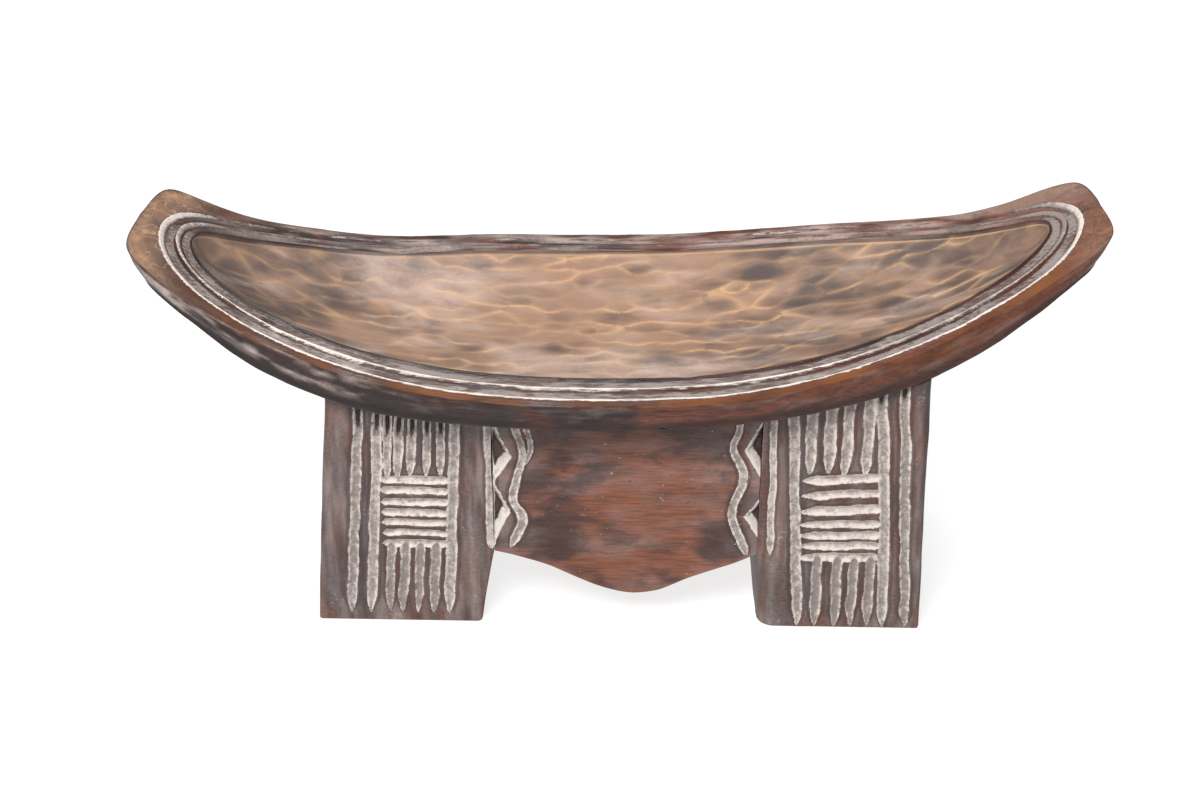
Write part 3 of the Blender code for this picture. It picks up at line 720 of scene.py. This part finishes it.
def ladderStrokes(lines):
    foot, seed, depth = lines["foot"], lines["seed"], cutting["depth"]
    strokes = []
    for side in lines["sides"]:
        path = leaning(lines, side["x"], side["top"], foot)
        strokes.append(stroke(path, side["width"], depth, (0, 8), open=side["open"], shade=0.55, fill=0.8))
    # upright cuts above and below the rungs, each with its own scatter
    for number, x in enumerate(lines["uppers"]):
        wide = lines["upperWidth"] * (1 + 0.10 * hashOf(seed, number))
        end = lines["upperEnd"] + 1.2 * hashOf(seed + 1, number)
        path = leaning(lines, (x, x + 0.8 * hashOf(seed + 2, number)), lines["upperTop"], end)
        strokes.append(stroke(path, wide, depth, (0, 6), open=lines["upperOpen"], shade=0.55, fill=0.65))
    for number, x in enumerate(lines["lowers"]):
        wide = lines["lowerWidth"] * (1 + 0.10 * hashOf(seed + 3, number))
        end = foot + 0.8 * hashOf(seed + 5, number)
        path = leaning(lines, (x, x + 0.7 * hashOf(seed + 4, number)), lines["lowerTop"], end)
        strokes.append(stroke(path, wide, depth, (0, 9), shade=0.72, fill=0.75))
    left, right = lines["rungEnds"]
    for number, z in enumerate(lines["rungs"]):
        rise = lines["rungRise"] * (right - left) / 2 * (1 if number < 3 else 0.25)
        wide = lines["rungWidth"] * (1.12 if number in (0, 6) else 1 + 0.07 * hashOf(seed + 6, number))
        path = ((left, z - rise), (right, z + rise))
        strokes.append(stroke(path, wide, cutting["rungDepth"], lines["rungTips"], clay=1.10, shade=0.35))
    return strokes


def edgeStroke(lines):
    line = lines["edge"]
    path = leaning(lines, line["x"], line["top"], lines["foot"])
    return stroke(path, line["width"], cutting["depth"], (0, 7), open=line["open"], shade=0.65, fill=0.7)


def seamStroke(lines):
    line = lines["seam"]
    path = ((line["x"][0], line["top"]), (line["x"][1], line["foot"]))
    return stroke(path, line["width"], cutting["seamDepth"], (0, 3), shade=0.45, fill=0.85)


def waveStrokes(lines):
    waves = []
    for kind, width in (("wave", lines["waveWidth"]), ("echo", cutting["echoWidth"])):
        points = lines[kind]
        if points:
            heights = np.linspace(points[0][1], points[-1][1], cutting["waveSteps"])
            xs = curveThrough([(z, x) for x, z in points[::-1]], heights)
            path = tuple(zip(xs, heights))
            depth = cutting[f"{kind}Depth"]
            waves.append(stroke(path, width, depth, (0, 4), clay=0.95, shade=0.60, fill=0.75))
    return waves


def hashOf(seed, number):
    return float(hashValue(np.array([number]), np.array([7]), np.array([3]), seed)[0])


def strokeField(x, z, cut, seed):
    # signed share of the half width across the stroke, and the distances to its two ends
    best = np.full(x.shape, 1e6)
    across, along = np.zeros(x.shape), np.zeros(x.shape)
    run = 0.0
    for (x0, z0), (x1, z1) in zip(cut["path"], cut["path"][1:]):
        length = math.hypot(x1 - x0, z1 - z0)
        dx, dz = (x1 - x0) / length, (z1 - z0) / length
        t = np.clip((x - x0) * dx + (z - z0) * dz, 0, length)
        px, pz = x - x0 - dx * t, z - z0 - dz * t
        distance = np.hypot(px, pz)
        nearer = distance < best
        best = np.where(nearer, distance, best)
        across = np.where(nearer, np.sign(px * dz - pz * dx) * distance, across)
        along = np.where(nearer, run + t, along)
        run += length
    wobble = cutting["wobble"] * smoothNoise(along / 8, seed, 0.0, seed)
    wobble = wobble + cutting["tremble"] * smoothNoise(along / 2.6, seed, 0.0, seed + 7)
    start, end = cut["width"]
    swell = 1 + cutting["swell"] * smoothNoise(along / 7, seed, 2.0, seed + 3)
    half = (start + (end - start) * along / run) / 2 * swell
    for tip, distance in zip(cut["tips"], (along, run - along)):
        if tip:
            half = half * np.clip(distance / tip + 0.02, 0, 1) ** 0.55
    return (across + wobble) / np.maximum(half, 0.05), half


def carve(x, z, strokes, seed):
    # depth of cut, chalk in it, greyness of that chalk, painted shade in the bare core and in a thin line
    # just outside the cut, and chalk rubbed round about
    depth, shade, gloom, dust = (np.zeros(x.shape) for _ in range(4))
    cover = np.full(x.shape, -1.0)
    rough = roughNoise(x / 1.5, z / 1.5, 0.0, seed + 60, 3)
    for number, cut in enumerate(strokes):
        e, half = strokeField(x, z, cut, seed + 13 * number)
        e = np.abs(e)
        inside = np.clip(1 - e * e, 0, 1)
        deepest = cut["depth"] * np.minimum(half / (max(cut["width"]) / 2), 1)
        core = np.zeros(x.shape)
        if cut["open"] is not None:
            rise = step(z, cut["open"], cut["open"] + 16)
            core = step(rise, 0.0, 0.5) * (1 - step(e, 0.05 + 0.15 * rise, 0.30 + 0.25 * rise))
        uneven = 1 + 0.10 * smoothNoise(x / 3, z / 3, 0.0, seed + number)
        dug = deepest * inside ** 0.75 * (1 + 0.45 * core) * uneven
        edge = bump(e, 0.78, 0.24)
        amount = cut["clay"] * (1 - step(e, 0.70, 1.08)) * 1.35 * (cut["fill"] + (1 - cut["fill"]) * edge)
        amount = amount - 0.38 - 1.2 * core + 0.18 * rough
        cover = np.maximum(cover, amount)
        # chalk lighter at the lips of each cut: thicker clay there, and partly a painted highlight on the
        # lips
        shade = np.where(dug > depth, cut["shade"] + 0.12 - 0.70 * edge * (0.65 + 0.6 * rough), shade)
        # painted shade: the deep bare core and a dark outline just outside each cut
        gloom = np.maximum(gloom, np.maximum(core * 0.75, 0.62 * bump(e, 1.34, 0.34)))
        dust = np.maximum(dust, cut["clay"] * 0.40 * (1 - step(e, 0.95, 1.20)) * (1 - core))
        depth = np.maximum(depth, dug - 0.22 * bump(e, 1.16, 0.22))
    return depth, cover, shade, gloom, dust


def carvePits(x, z, lines, seed):
    # three-cornered chip cuts beside the seam, with chalk along their two free edges and painted shade in
    # their deep part
    depth, shade, gloom, dust = (np.zeros(x.shape) for _ in range(4))
    cover = np.full(x.shape, -1.0)

    def inward(a, b, c):
        # distance inside the line from a to b, on c's side
        dx, dz = b[0] - a[0], b[1] - a[1]
        length = math.hypot(dx, dz)
        side = (c[0] - a[0]) * dz - (c[1] - a[1]) * dx
        return ((x - a[0]) * dz - (z - a[1]) * dx) / length * (1 if side > 0 else -1)

    for number, (top, tip, low) in enumerate(lines["pits"]):
        ragged = 0.25 * smoothNoise(x / 2.5, z / 2.5, number, seed + 1)
        upper, lower = inward(top, tip, low) + ragged, inward(tip, low, top) + ragged
        seam = inward(top, low, tip) + 2.0
        pit = np.clip(np.minimum(np.minimum(upper, lower * 0.6), seam * 1.3), 0, cutting["pitDepth"])
        nearest = np.minimum(upper, lower)
        lowBand = (1 - step(lower, 2.3, 3.1)) * (lower <= upper * 1.6)
        highBand = (1 - step(upper, 0.9, 1.6)) * (lower > upper * 1.6)
        inside = step(nearest, -0.9, -0.3) * (seam > 0.2)
        amount = (0.75 * lowBand + 0.50 * highBand) * inside - 0.12
        amount = amount + 0.12 * roughNoise(x / 1.5, z / 1.5, 0, seed, 2)
        cover = np.maximum(cover, amount)
        shade = np.where(inside > 0, 0.30 + 0.30 * highBand - 0.4 * bump(nearest, 0.0, 0.5), shade)
        # painted shade in the deep, steep part of each chip cut
        gloom = np.maximum(gloom, 0.75 * step(pit, 0.2, 1.4) * (1 - lowBand) * (1 - highBand))
        dust = np.maximum(dust, 0.5 * step(nearest, -1.3, -0.2) * (nearest < 0.4) * (seam > 0))
        depth = np.maximum(depth, pit)
    return depth, cover, shade, gloom, dust


def strongest(groups):
    # several cuts as one: each value from the deepest one
    depth, cover, shade, gloom, dust = (np.array(values) for values in zip(*groups))
    first = cover.argmax(axis=0)
    shade = np.take_along_axis(shade, first[None], axis=0)[0]
    return depth.max(axis=0), cover.max(axis=0), shade, gloom.max(axis=0), dust.max(axis=0)


# Legs and panel: blocks with a fine grid on every side

block = {
    "halfDepth": 45.0, "turn": 0.0305, "centre": 3.0, "seatGap": 0.2, "edgeRound": 1.6, "footRound": 0.9,
    "bunching": 1.8, "skin": 0.15, "legHeight": 100.0,
}
legCounts = (172, 26, 206)
panelCounts = (184, 18, 224)
keyStep = 4096  # more than the points along any side of a block
legLooks = {
    "left": {"outer": ((0, -119.1), (100, -111.2), (125, -109.7)), "footCorner": 2.2,
             "inner": ((0, -53.6), (34, -48.4), (125, -48.4)), "lines": leftLines},
    "right": {"outer": ((0, 119.0), (100, 115.8), (125, 115.2)), "footCorner": 7.5,
              "inner": ((0, 54.5), (34, 53.4), (125, 53.4)), "lines": rightLines},
}
panelLook = {
    "edges": (-48.38, 53.38), "bunching": 0.10,
    "bottom": ((-48, 34.5), (-38, 31.8), (-27, 27.8), (-18, 23.2), (-7, 18.0), (0, 15.8), (6, 15.0),
               (14, 16.3), (28, 23.3), (38, 27.4), (46, 31.0), (53, 34.7)),
}


def blockGrid(counts):
    # all six sides of a block; shared corners and edges are one point
    faces = []
    for axis in range(3):
        first, second = [other for other in range(3) if other != axis]
        a, b = np.meshgrid(np.arange(counts[first] + 1), np.arange(counts[second] + 1), indexing="ij")
        for end in (0, counts[axis]):
            key = np.zeros(a.shape + (3,), np.int64)
            key[..., axis], key[..., first], key[..., second] = end, a, b
            flatKey = (key[..., 0] * keyStep + key[..., 1]) * keyStep + key[..., 2]
            corners = [flatKey[:-1, :-1], flatKey[1:, :-1], flatKey[1:, 1:], flatKey[:-1, 1:]]
            corners = np.stack(corners, axis=-1)
            outward = (end > 0) == (axis != 1)
            faces.append((corners if outward else corners[..., ::-1]).reshape(-1, 4))
    unique, inverse = np.unique(np.concatenate(faces), return_inverse=True)
    i, j, k = unique // keyStep**2, unique // keyStep % keyStep, unique % keyStep
    return (i, j, k), inverse.reshape(-1, 4)


def roundOff(away, beside, radius):
    # moves points outside the arc of a rounded edge on to it; away and beside are the distances
    # in from the two sides of the edge
    u, v = away - radius, beside - radius
    length = np.maximum(np.hypot(u, v), tiny)
    near = (away < radius) & (beside < radius) & (length > radius - tiny)
    moved = (radius + radius * u / length - away, radius + radius * v / length - beside)
    return [np.where(near, move, 0) for move in moved]


def standing(x, depth, z):
    return np.stack([x, depth - block["turn"] * (x - block["centre"]), z], axis=-1)


def topUnder(x, depth):
    y = depth - block["turn"] * (x - block["centre"])
    return undersideHeight(x, y) - block["seatGap"]


backSeed = 40  # the cuts of the back wander in their own way


def carveSeam(x, z, lines, seed):
    return carve(x, z, [seamStroke(lines)], seed + 600)


def carveGroups(x, z, lines, seed):
    ladder = carve(x, z, ladderStrokes(lines), seed)
    edge = carve(x, z, [edgeStroke(lines)], seed + 500)
    return ladder, edge, carveSeam(x, z, lines, seed)


def depthOf(share):
    # points crowd together towards the front and the back
    power = block["bunching"]
    crowded = np.where(share < 0.5, 0.5 * (2 * share) ** power, 1 - 0.5 * (2 - 2 * share) ** power)
    return block["halfDepth"] * (2 * crowded - 1)


def darken(marks, mark, mask, *values):
    for value in values:
        marks[mark][mask] = np.maximum(marks[mark][mask], value)


def faceSheets(points, grid, counts, isFront, groups):
    # the wood of the front or back with the chalk of each group of cuts
    mask, i, k = grid
    order = np.argsort(k[mask] * keyStep + i[mask])
    shape = (counts[2] + 1, counts[0] + 1)
    wood = points[mask][order].reshape(shape + (3,))
    out = np.zeros(wood.shape)
    out[..., 1] = -1 if isFront else 1
    way = slice(None, None, 1 if isFront else -1)
    sheets = []
    for group in groups:
        sheet = (wood, out, group[1][order].reshape(shape), group[2][order].reshape(shape))
        sheets.append([part[:, way] for part in sheet] + [False])
    return sheets


def buildLeg(word):
    look = legLooks[word]
    lines, counts = look["lines"], legCounts
    seed = lines["seed"]
    isLeft = word == "left"
    (i, j, k), quads = blockGrid(counts)
    depth = depthOf(j / counts[1])
    z = block["legHeight"] * k / counts[2]
    ends = sorted((look["outer"], look["inner"]), key=lambda line: line[0][1])
    # the sides lean and the top follows the rest, so width and height settle in a few rounds
    for _ in range(4):
        xLow, xHigh = (np.interp(z, *zip(*line)) for line in ends)
        x = xLow + (xHigh - xLow) * i / counts[0]
        z = topUnder(x, depth) * k / counts[2]
    side = (i == 0) | (i == counts[0])

    # rounded upright corners, softer at the inner front of the foot
    fromLow, fromHigh = x - xLow, xHigh - x
    besideSide = np.minimum(fromLow, fromHigh)
    besideFace = block["halfDepth"] - np.abs(depth)
    innerNear, outerNear = (fromHigh, fromLow) if isLeft else (fromLow, fromHigh)
    inward = -1 if isLeft else 1
    innerRadius = (look["footCorner"] - block["edgeRound"]) * (1 - step(z, 26, 37)) * (depth < 0)
    innerRadius = (block["edgeRound"] + innerRadius) * (1 - step(z, 33, 37)) + 0.02
    lowEdge = np.minimum(besideSide, besideFace)
    uprights = ((innerNear, innerRadius, inward), (outerNear, block["edgeRound"] * 1.3, -inward))
    for near, radius, way in uprights:
        radius = radius * (1 + 0.25 * smoothNoise(z / 11, np.sign(depth), way, seed + 5))
        moveX, moveDepth = roundOff(near, besideFace, radius)
        gap = radius - np.hypot(radius - near - moveX, radius - besideFace - moveDepth)
        lowEdge = np.where((near < radius) & (besideFace < radius), np.maximum(gap, 0), lowEdge)
        x, depth = x + way * moveX, depth - np.sign(depth) * moveDepth
    # worn lower edge
    middle = (xLow + xHigh) / 2
    footMoveZ, footMoveIn = roundOff(z, lowEdge, block["footRound"])
    z = z + footMoveZ * (k < counts[2])
    ofFace, ofSide = besideFace <= besideSide + tiny, besideSide <= besideFace + tiny
    footMoveIn = footMoveIn * np.where(ofFace & ofSide, 0.7, 1.0)
    depth = depth - np.sign(depth) * footMoveIn * ofFace
    x = x - np.sign(x - middle) * footMoveIn * ofSide

    # uneven, knife-cut sides
    swell = 0.22 * roughNoise(x / 13, depth / 16, z / 19, seed + 9, 2)
    x = x + np.where(side, np.sign(x - middle) * (swell - 0.2), 0)
    dug = np.zeros(x.shape)
    corner = bump(besideFace, 0.0, 1.2) * bump(besideSide, 0.0, 1.6)
    top = topUnder(x, depth)
    marks = {
        "arris": 0.75 * corner * step(z, 30, 4) + 0.5 * (1 - step(z, 0.0, 1.4)),
        "tone": 0.8 * smoothNoise(x / 12, depth / 20, z / 20, seed + 22),
        "haze": 0.22 + 0.45 * roughNoise(x / 3.5, depth / 12, z / 16, seed + 23, 3),
        "dust": 0.16 + 0.18 * roughNoise(x / 7, depth / 9, z / 9, seed + 21, 3),
        # darkening: dark patches of wood, and painted shade under the rest at the top of the leg
        "gloom": (0.30 * risen(x / 5, depth / 14, z / 20, seed + 24, 3)
                  + 0.55 * risen(x / 2.4, depth / 8, z / 38, seed + 25, 3) + 0.35 * step(z, top - 9, top)),
    }
    faces = (("front", j == 0, seed), ("back", j == counts[1], seed + backSeed))
    groups = {}
    for face, mask, faceSeed in faces:
        xs, zs = x[mask], z[mask]
        inset = 0.15 * roughNoise(xs / 12, zs / 16, 0, faceSeed + 30, 2)
        groups[face] = carveGroups(xs, zs, lines, faceSeed)
        dug[mask] = np.maximum.reduce([group[0] for group in groups[face]]) + inset + block["skin"]
        darken(marks, "gloom", mask, *[group[3] for group in groups[face]])
        darken(marks, "dust", mask, *[group[4] for group in groups[face]])
        marks["dust"][mask] *= 1 - 0.7 * marks["gloom"][mask]
    depth = depth - np.sign(depth) * np.where((j == 0) | (j == counts[1]), dug, 0)
    points = standing(x, depth, z)
    name = f"carved{word.capitalize()}Leg"
    makePiece(name, points, quads, marks, materials["legWood"], [f"{word}_leg"])
    sheets = {}
    for face, mask, _ in faces:
        made = faceSheets(points, (mask, i, k), counts, face == "front", groups[face])
        sheets[face] = dict(zip(("ladder", "edge", "teeth"), made))
    return sheets


def buildPanel(legSheets):
    counts = panelCounts
    (i, j, k), quads = blockGrid(counts)
    low, high = panelLook["edges"]
    # closer columns near the carved edges
    share = i / counts[0]
    x = low + (high - low) * (share - panelLook["bunching"] * np.sin(2 * np.pi * share))
    depth = depthOf(j / counts[1])
    bottom = curveThrough(panelLook["bottom"], x)
    z = bottom + (topUnder(x, depth) - bottom) * k / counts[2]
    besideFace = block["halfDepth"] - np.abs(depth)
    radius = 1.3 + 0.3 * smoothNoise(x / 9, np.sign(depth), 0, 301)
    moveZ, moveIn = roundOff(z - bottom, besideFace, radius)
    z, depth = z + moveZ, depth - np.sign(depth) * moveIn
    top = topUnder(x, depth)
    middle = 0.8 * bump(x, 12, 24) * bump(z, 62, 30)
    marks = {
        "arris": 0.6 * bump(z - bottom, 0.4, 1.4) * (0.5 + 0.5 * smoothNoise(x / 7, 0, 0, 302)),
        "tone": 0.9 * roughNoise(x / 24, depth / 30, z / 15, 303, 2) + middle,
        "haze": 0.10 + 0.20 * roughNoise(x / 12, depth / 12, z / 5, 306, 3),
        "dust": 0.08 + 0.10 * roughNoise(x / 9, depth / 9, z / 9, 305, 2),
        # darkening: painted shade under the rest along the top of the panel, and dark patches of wood
        "gloom": 0.40 * step(z, top - 20, top - 2) + 0.35 * risen(x / 16, depth / 30, z / 9, 304, 3),
    }
    dug = np.zeros(x.shape)
    groups = {}
    faces = (("front", j == 0, 0), ("back", j == counts[1], backSeed))
    for face, mask, moreSeed in faces:
        xs, zs = x[mask], z[mask]
        inset = 0.14 * roughNoise(xs / 15, zs / 11, 0, 310 + (face == "front"), 2)
        dug[mask] = inset + block["skin"]
        groups[face] = []
        for lines in (leftLines, rightLines):
            seed = lines["seed"] + moreSeed
            pits = strongest((carveSeam(xs, zs, lines, seed), carvePits(xs, zs, lines, seed + 700)))
            wave = carve(xs, zs, waveStrokes(lines), seed + 800)
            dug[mask] = np.maximum(dug[mask], np.maximum(pits[0], wave[0]) + inset + block["skin"])
            beside = 0.45 * bump(xs, lines["seam"]["x"][0] + lines["into"] * 5, 5.0)
            darken(marks, "haze", mask, beside)
            darken(marks, "gloom", mask, pits[3], wave[3])
            darken(marks, "dust", mask, wave[4], pits[4])
            groups[face] += [pits, wave]
    depth = depth - np.sign(depth) * np.where((j == 0) | (j == counts[1]), dug, 0)
    points = standing(x, depth, z)
    wood = materials["panelWood"]
    makePiece("carvedCentrePanel", points, quads, marks, wood, ["centre_panel"])
    for face, mask, _ in faces:
        made = faceSheets(points, (mask, i, k), counts, face == "front", groups[face])
        for number, word in enumerate(legSheets):
            leg = legSheets[word][face]
            teeth, wave = made[2 * number:2 * number + 2]
            sheets = {"teeth": [leg["teeth"], teeth], "wave": [wave], "ladder": [leg["ladder"]],
                      "edge": [leg["edge"]]}
            for group, parts in sheets.items():
                name = f"{word}{group.capitalize()}Chalk{face.capitalize()}"
                chalkSkin(name, [f"{word}_{group}_clay_{face}"], parts)


legSheets = {word: buildLeg(word) for word in legLooks}
print("legs carved")
buildPanel(legSheets)
print("panel carved and chalk rubbed in")


def buildRimChalk(rings):
    # chalk on the outer wall and the floor of each groove round the rim; the wall's chalk is kept whitest,
    # partly as a painted highlight of the lit wall
    start = rest["undersideRings"] + rest["sideRings"] + len(rest["roundingInsets"])
    band = rings[start:start + rest["bandRings"]]
    insets = np.linspace(rest["bandStart"], rest["band"], rest["bandRings"])[:, None]
    x, y = band[..., 0], band[..., 1]
    t = insets + grooveWander(x, y)
    patch = 0.24 * roughNoise(x / 11, y / 11, insets / 3, 401, 3)
    nearEnd = step(np.abs(x), 120, 165)
    rear = step(y, 0, 25) * (1 - 0.55 * step(np.abs(x), 150, 176))
    for number, place in enumerate(("outer", "inner")):
        groove = rimGrooves[number]
        wall = bump(t, groove["wall"] - 0.35, groove["chalkReach"] - 0.25 * nearEnd)
        floor = 0.42 * step(t, groove["wall"] + 0.6, groove["floor"])
        floor = floor * (1 - step(t, groove["inner"] - 0.4, groove["ridge"]))
        cover = np.maximum(wall, floor) * 1.45 - 0.38 + patch - 1.0 * rear
        cover = np.where((t > groove["outer"] - 0.9) & (t < groove["ridge"] - 0.1), cover, -1)
        # whitest on the wall: chalk there, with a painted highlight where the wall faces the lamps
        shade = 1.15 * step(t, groove["wall"] - 0.2, groove["wall"] + 1.1) + groove["chalkShade"]
        shade = shade + 0.30 * nearEnd
        shade = shade + 0.9 * rear + 0.30 * step(x, 60, 130)
        shade = shade + 0.25 * smoothNoise(x / 13, y / 13, number, 402)
        way = np.zeros(band.shape)
        way[..., 2] = 1
        sheet = [band, way, cover, np.broadcast_to(shade, cover.shape), True]
        chalkSkin(f"{place}RimChalk", [f"{place}_rim_clay"], [sheet], "rimChalk")


buildRimChalk(restRings)
print("rim chalk laid")


# Stage: floor, soft lamps and camera


def makeStage():
    half = light["floorSize"] / 2
    white = (1.0, 1.0, 1.0, 1.0)
    mesh = bpy.data.meshes.new("paleFloor")
    corners = [(-half, -half, 0), (half, -half, 0), (half, half, 0), (-half, half, 0)]
    mesh.from_pydata(corners, [], [(0, 1, 2, 3)])
    paper = bpy.data.materials.new("palePaper")
    paper.use_nodes = True
    shader = paper.node_tree.nodes["Principled BSDF"]
    shader.inputs["Base Color"].default_value = light["floorColour"]
    shader.inputs["Roughness"].default_value = 0.9
    shader.inputs["Emission Color"].default_value = white
    shader.inputs["Emission Strength"].default_value = light["floorGlow"]  # lit from below as a light table
    mesh.materials.append(paper)
    floor = bpy.data.objects.new("paleFloor", mesh)
    bpy.context.scene.collection.objects.link(floor)
    world = bpy.data.worlds.new("softRoom")
    world.use_nodes = True
    sky = world.node_tree.nodes["Background"]
    sky.inputs["Color"].default_value = white
    sky.inputs["Strength"].default_value = light["world"]
    bpy.context.scene.world = world
    aim = Vector(light["aim"])
    for name in ("overhead", "front"):
        lamp = bpy.data.lights.new(f"{name}Softbox", "AREA")
        lamp.shape = "RECTANGLE"
        lamp.size, lamp.size_y = light[f"{name}Size"]
        lamp.energy = light[f"{name}Power"]
        holder = bpy.data.objects.new(f"{name}Softbox", lamp)
        holder.location = light[f"{name}Place"]
        holder.rotation_euler = (aim - holder.location).to_track_quat("-Z", "Y").to_euler()
        bpy.context.scene.collection.objects.link(holder)


def makeCamera():
    turn, tilt, roll = (math.radians(view[key]) for key in ("turn", "elevation", "roll"))
    ahead = Vector((math.sin(turn) * math.cos(tilt), math.cos(turn) * math.cos(tilt), -math.sin(tilt)))
    right = Vector((math.cos(turn), -math.sin(turn), 0.0))
    up = right.cross(ahead)
    across = right * math.cos(roll) + up * math.sin(roll)
    upward = up * math.cos(roll) - right * math.sin(roll)
    lens = bpy.data.cameras.new("studioCamera")
    lens.lens, lens.sensor_width, lens.sensor_fit = view["lens"], view["sensor"], "HORIZONTAL"
    camera = bpy.data.objects.new("studioCamera", lens)
    place = Vector(view["target"]) * mm - ahead * view["distance"] * mm
    turned = Matrix((across, upward, -ahead)).transposed().to_4x4()
    camera.matrix_world = Matrix.Translation(place) @ turned
    bpy.context.scene.collection.objects.link(camera)
    bpy.context.scene.camera = camera


makeStage()
makeCamera()
bpy.context.scene.view_settings.view_transform = "Standard"
print("stage set")
